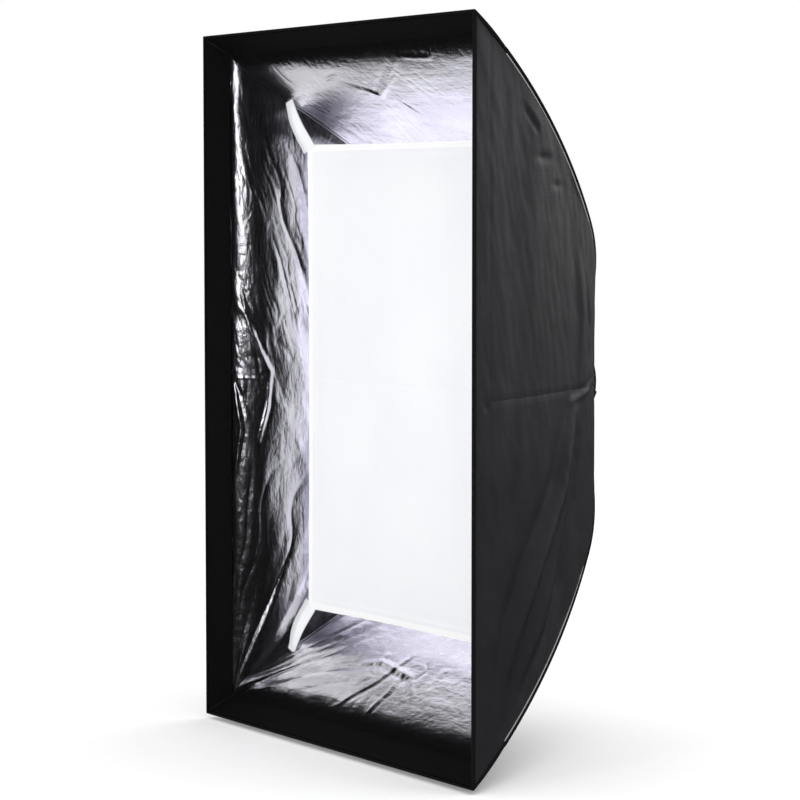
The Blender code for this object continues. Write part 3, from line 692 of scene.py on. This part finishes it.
LINING_FOLDS = {
    "right": upright_lining_folds,
    "left": upright_lining_folds,
    "top": top_lining_folds,
    "bottom": bottom_lining_folds,
}


def room_outside(layer):
    """How far each row of the lining may stand out and still clear the shell's own folds."""
    seam_angles = bow_angles(0.0, angle_at_radius(PANEL_REAR_RADIUS), 400)
    outer = np.interp(layer.depth, *bow_point(seam_angles, 0.0))
    gap = (outer - layer.radius) * layer.lateral_share * layer.slope_depth
    return (gap - SHELL_FOLD_ROOM * smooth_step(0.02, 0.12, layer.s))[:, None]


def make_lining():
    depth, radius = lining_profile(170)
    for side, folds in LINING_FOLDS.items():
        layer = Layer(side, depth, radius)
        room = room_outside(layer)

        def height(s, w, v):
            free = smooth_step(0.002, 0.016, s) * smooth_step(0, 0.05, 1 - v)
            lift = -0.003 * (1 - v ** 2) * smooth_step(0, 0.05, s) + folds(s, w, v) * free
            return np.minimum(lift, room)

        side_cloth("lining", layer, 150, height, SILVER, f"lining_{side}", facing_in=True)


# ---- corner seams and rod channels ---------------------------------------------------------------
def seam_line(corner, first, last, steps, inset, shift=(0, 0)):
    """Points along a corner between two depths, moved by a shift across and up, away from the axis."""
    sign_x, sign_z = CORNERS[corner]
    angles = bow_angles(angle_at_depth(first, inset), angle_at_depth(last, inset), steps)
    depth, radius = bow_point(angles, inset)
    return [(sign_x * (r * DIAGONAL_X + shift[0]), FRONT_Y + d, sign_z * (r * DIAGONAL_Z + shift[1]))
            for d, r in zip(depth, radius)]


def make_seams():
    for corner in CORNERS:
        body = f"rod_{corner}"
        channel_line = seam_line(corner, 0.086, CHANNEL_REAR_DEPTH, 60, 0.0035)
        channel = tube_object(f"rod_channel_{corner}", channel_line, 0.0046, SHELL)
        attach(channel, body)
        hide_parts(f"rod_sleeve_{corner}")
        # a thin light grey cord beside each rod channel: a painted highlight along the seam
        highlight_line = seam_line(corner, 0.088, CHANNEL_REAR_DEPTH, 60, 0.0035, (0.0022, -0.0052))
        painted_highlight = tube_object(f"seam_painted_highlight_{corner}", highlight_line, 0.0012, PAINTED_HIGHLIGHT, 8)
        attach(painted_highlight, body)
        pocket = tube_object(f"corner_pocket_{corner}", seam_line(corner, 0.004, 0.092, 16, 0.004),
                             0.0042 + 0.0010 * np.sin(np.linspace(0, np.pi, 16)), SHELL)
        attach(pocket, body)
        inner = []
        depth, radius = lining_profile(60)
        sign_x, sign_z = CORNERS[corner]
        for d, r in zip(depth[4:], radius[4:]):
            inner.append((sign_x * (r * DIAGONAL_X - 0.0004), FRONT_Y + d,
                          sign_z * (r * DIAGONAL_Z - 0.0004)))
        binding = tube_object(f"lining_seam_{corner}", inner, 0.0020, SILVER, 10)
        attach(binding, body)


# ---- inner diffuser ------------------------------------------------------------------------------
def make_diffuser():
    low, high = BAFFLE_BOX
    half_x, half_z = high[0], high[2]
    middle_y = (low[1] + high[1]) / 2
    columns, rows = 90, 120
    for corner, (sign_x, sign_z) in CORNERS.items():
        u, v = np.meshgrid(np.linspace(0, 1, columns), np.linspace(0, 1, rows), indexing="xy")
        x, z = sign_x * u * half_x, sign_z * v * half_z
        free = smooth_step(0, 0.25, 1 - u) * smooth_step(0, 0.2, 1 - v)
        wander = 0.6 * noise(x / 0.2, z / 0.5, 62)
        pleats = 0.005 * noise(x / 0.06 + wander, z / 0.5, 61) * (0.4 + 0.6 * free)
        fold = 0.0011 * np.exp(-(z / 0.003) ** 2)
        hem = -0.0012 * smooth_step(0.022, 0.018, half_x - np.abs(x))
        hem = np.minimum(hem, -0.0012 * smooth_step(0.022, 0.018, half_z - np.abs(z)))
        y = middle_y + pleats * smooth_step(0, 0.03, 1 - u) + fold + hem
        z = z - sign_z * 0.003 * (1 - u ** 2) * v ** 4
        x = x - sign_x * 0.004 * (1 - v ** 2) * u ** 4
        points = np.stack([x, y, z], -1)
        item = grid_object(f"diffuser_{corner}", points, (x, z), flip=sign_x * sign_z > 0)
        item.data.materials.append(DIFFUSER)
        follow_rod(item)
        thicken(item, CLOTH)
        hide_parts("baffle")


def make_straps():
    """Tapered white tabs from the diffuser's corners to the corner seams."""
    for corner, (sign_x, sign_z) in CORNERS.items():
        start = Vector((sign_x * BAFFLE_BOX[1][0], (BAFFLE_BOX[0][1] + BAFFLE_BOX[1][1]) / 2,
                        sign_z * BAFFLE_BOX[1][2]))
        anchor_depth, anchor_radius = bow_point(angle_at_depth(0.128, LINING_INSET), LINING_INSET)
        end = Vector((sign_x * (anchor_radius * DIAGONAL_X - 0.002), FRONT_Y + anchor_depth,
                      sign_z * (anchor_radius * DIAGONAL_Z - 0.002)))
        along = (end - start).normalized()
        across = along.cross(Vector((0, 1, 0))).normalized()
        t = np.linspace(-0.14, 1.0, 24)
        u = np.linspace(-1, 1, 9)
        width = 0.018 - 0.002 * np.clip(t, 0, 1)
        points = np.zeros((len(t), len(u), 3))
        for i, step in enumerate(t):
            forward = 0.0030 + 0.004 * math.sin(math.pi * max(step, 0))
            centre = start.lerp(end, step) + Vector((0, -forward, 0))
            for k, side in enumerate(u):
                points[i, k] = centre + across * (side * width[i]) + Vector((0, 0.0012 * side * side, 0))
        uv = (np.repeat(t[:, None] * 0.09, len(u), 1), np.repeat(u[None, :] * 0.016, len(t), 0))
        strap = grid_object(f"strap_{corner}", points, uv, flip=sign_x * sign_z < 0)
        strap.data.materials.append(DIFFUSER)
        thicken(strap, 0.0012)
        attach(strap, f"rod_{corner}")
        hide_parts(f"baffle_strap_{corner}")


# ---- rear collar ---------------------------------------------------------------------------------
def hem_point(turn, corner_turn):
    """(radius, y) of the rear hem: out past a release button at a corner, drawn in round the hub between."""
    bulge = (1 + np.cos(np.pi * np.minimum(np.abs(turn - corner_turn) / SKIRT_BULGE, 1))) / 2
    corner_y = FRONT_Y + bow_point(angle_at_radius(SKIRT_HEM_RADIUS), 0.0)[0]
    return (SKIRT_SIDE_RADIUS + (SKIRT_HEM_RADIUS - SKIRT_SIDE_RADIUS) * bulge,
            SKIRT_SIDE_Y + (corner_y - SKIRT_SIDE_Y) * bulge)


def make_collar():
    """The shell's rear, from the panels' rear edge to an elastic hem round the speedring."""
    front_depth, front_radius = bow_point(angle_at_radius(PANEL_REAR_RADIUS - 0.0012), 0.0)
    half_x, half_z = front_radius * DIAGONAL_X, front_radius * DIAGONAL_Z
    corner_turn = math.atan2(half_z, half_x)
    turns, share = np.meshgrid(np.linspace(0, math.pi / 2, 91), np.linspace(0, 1, 24))
    hem, hem_y = hem_point(turns, corner_turn)
    edge = 1 / np.maximum(np.cos(turns) / half_x, np.sin(turns) / half_z)
    gather = 0.0016 * np.sin(turns * 56 + 2 * np.sin(turns * 5)) * share ** 1.5
    radius = edge + (hem - edge) * share + 0.3 * gather
    y = (FRONT_Y + front_depth) * (1 - share) + hem_y * share + gather - 0.0006 * share
    for corner, (sign_x, sign_z) in CORNERS.items():
        points = np.stack([sign_x * np.cos(turns) * radius, y, sign_z * np.sin(turns) * radius], -1)
        uv = (share * 0.06, turns * 0.15)
        item = grid_object(f"collar_{corner}", points, uv, flip=sign_x * sign_z > 0)
        item.data.materials.append(SHELL)
        follow_rod(item)
        thicken(item, CLOTH)
        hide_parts("rear_skirt")
    ring = []
    count = 120
    for i in range(count + 1):
        turn = math.tau * i / count
        c, d = math.cos(turn), math.sin(turn)
        hem, hem_y = hem_point(math.atan2(abs(d), abs(c)), corner_turn)
        ring.append((hem * c, hem_y - 0.0006, hem * d))
    thickness = 0.0024 + 0.0003 * np.sin(np.linspace(0, 2 * np.pi * 44, count + 1))
    welt = tube_object("collar_hem", ring, thickness, SHELL, 10, across=(0, 1, 0))
    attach(welt, HUB)


# ---- hardware ------------------------------------------------------------------------------------
def finish_hardware():
    looks = {
        "hub_ring": CAST_BLACK, "retaining_plate": CAST_BLACK, "hinge_bracket": CAST_BLACK,
        "mount_ring": MACHINED, "rod_socket": MACHINED, "rod_tip_cap": BLACK_PLASTIC,
        "lock_knob": BLACK_PLASTIC, "release_button": GREY_PLASTIC, "rod": PLATED,
        "plate_screw": PLATED, "hinge_pin": PLATED, "button_spring": PLATED,
    }
    for name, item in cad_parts.items():
        matches = [key for key in looks if name.startswith(key)]
        if matches:
            item.data.materials.clear()
            item.data.materials.append(looks[max(matches, key=len)])


def make_springs():
    """Coils behind the release buttons."""
    turns, steps = 3.5, 24
    for corner in CORNERS:
        node = f"button_spring_{corner}"
        low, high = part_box(node)
        coil = (high[0] - low[0]) / 2 - SPRING_WIRE
        centre_x, centre_z = (low[0] + high[0]) / 2, (low[2] + high[2]) / 2
        points = []
        for i in range(int(turns * steps) + 1):
            turn = math.tau * i / steps
            share = i / (turns * steps)
            y = low[1] + SPRING_WIRE + (high[1] - low[1] - 2 * SPRING_WIRE) * share
            points.append((centre_x + coil * math.cos(turn), y, centre_z + coil * math.sin(turn)))
        spring = tube_object(f"spring_{corner}", points, SPRING_WIRE, PLATED, 10, across=(0, 1, 0))
        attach(spring, HUB)
        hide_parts(node)
        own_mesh(spring)


# ---- stage, light and camera ---------------------------------------------------------------------
def area_light(name, location, target, size, power, color=(1, 1, 1)):
    data = bpy.data.lights.new(name, "AREA")
    data.shape = "RECTANGLE"
    data.size, data.size_y = size
    data.energy = power
    data.color = color
    lamp = bpy.data.objects.new(name, data)
    bpy.context.scene.collection.objects.link(lamp)
    lamp.location = location
    lamp.rotation_euler = (Vector(target) - Vector(location)).to_track_quat("-Z", "Y").to_euler()
    return lamp


def make_stage():
    bpy.ops.mesh.primitive_plane_add(size=90, location=(0, 0, -0.606))
    floor = bpy.context.object
    floor.name = "floor"
    n = Nodes("pale_floor")
    tone = n.noise(n.solid(1), 2.0, 3.0)
    color = n.ramp(tone, [(0.3, (0.95, 0.95, 0.95)), (0.7, (0.96, 0.96, 0.96))])
    floor.data.materials.append(n.finish(color, roughness=0.9, specular_ior_level=0.0))
    floor.visible_glossy = False

    # a white room for the eye and for matt surfaces; the mirror-like lining sees a dim one
    world = bpy.data.worlds.new("studio")
    bpy.context.scene.world = world
    world.use_nodes = True
    tree = world.node_tree
    background = tree.nodes["Background"]
    background.inputs["Color"].default_value = (1, 1, 1, 1)
    path = tree.nodes.new("ShaderNodeLightPath")
    seen = tree.nodes.new("ShaderNodeMath")
    seen.operation = "MULTIPLY_ADD"
    seen.inputs[1].default_value = ROOM_SEEN - ROOM_MIRRORED
    seen.inputs[2].default_value = ROOM_MIRRORED
    matt = tree.nodes.new("ShaderNodeMath")
    matt.operation = "MULTIPLY_ADD"
    matt.inputs[1].default_value = ROOM_LIGHT - ROOM_MIRRORED
    tree.links.new(path.outputs["Is Camera Ray"], seen.inputs[0])
    tree.links.new(path.outputs["Is Diffuse Ray"], matt.inputs[0])
    tree.links.new(seen.outputs[0], matt.inputs[2])
    tree.links.new(matt.outputs[0], background.inputs["Strength"])

    area_light("front_key", (1.0, -4.9, 0.9), (0, -0.4, 0.0), (0.7, 1.8), 24)
    area_light("overhead", (1.6, 0.3, 3.2), (0.3, -0.2, 0.1), (2.0, 2.0), 22)
    area_light("rear_wide", (-0.7, 4.2, 1.5), (0.35, -0.2, 0.1), (3.0, 2.6), 38)
    # light that passes the inner diffuser and light that the lining throws back and forth
    area_light("diffuser_glow", (0, FRONT_Y + 0.160, 0), (0, 1, 0), (0.54, 0.77), 1.7)
    area_light("lining_bounce", (-0.335, FRONT_Y + 0.085, 0), (0.665, FRONT_Y - 0.45, 0),
               (0.13, 0.95), 0.30)


def make_camera():
    data = bpy.data.cameras.new("camera")
    data.sensor_width = 36
    data.lens = 123.5
    camera = bpy.data.objects.new("camera", data)
    bpy.context.scene.collection.objects.link(camera)
    camera.location = (3.766, FRONT_Y - 2.480, 0.2945)
    turn, tilt = math.radians(55.16), math.radians(3.95)
    forward = Vector((-math.sin(turn) * math.cos(tilt), math.cos(turn) * math.cos(tilt), -math.sin(tilt)))
    camera.rotation_euler = forward.to_track_quat("-Z", "Y").to_euler()
    bpy.context.scene.camera = camera
    bpy.context.scene.view_settings.view_transform = "Standard"


make_camera()
make_stage()
finish_hardware()
make_springs()
make_shell()
make_band()
make_lining()
make_seams()
make_diffuser()
make_straps()
make_collar()
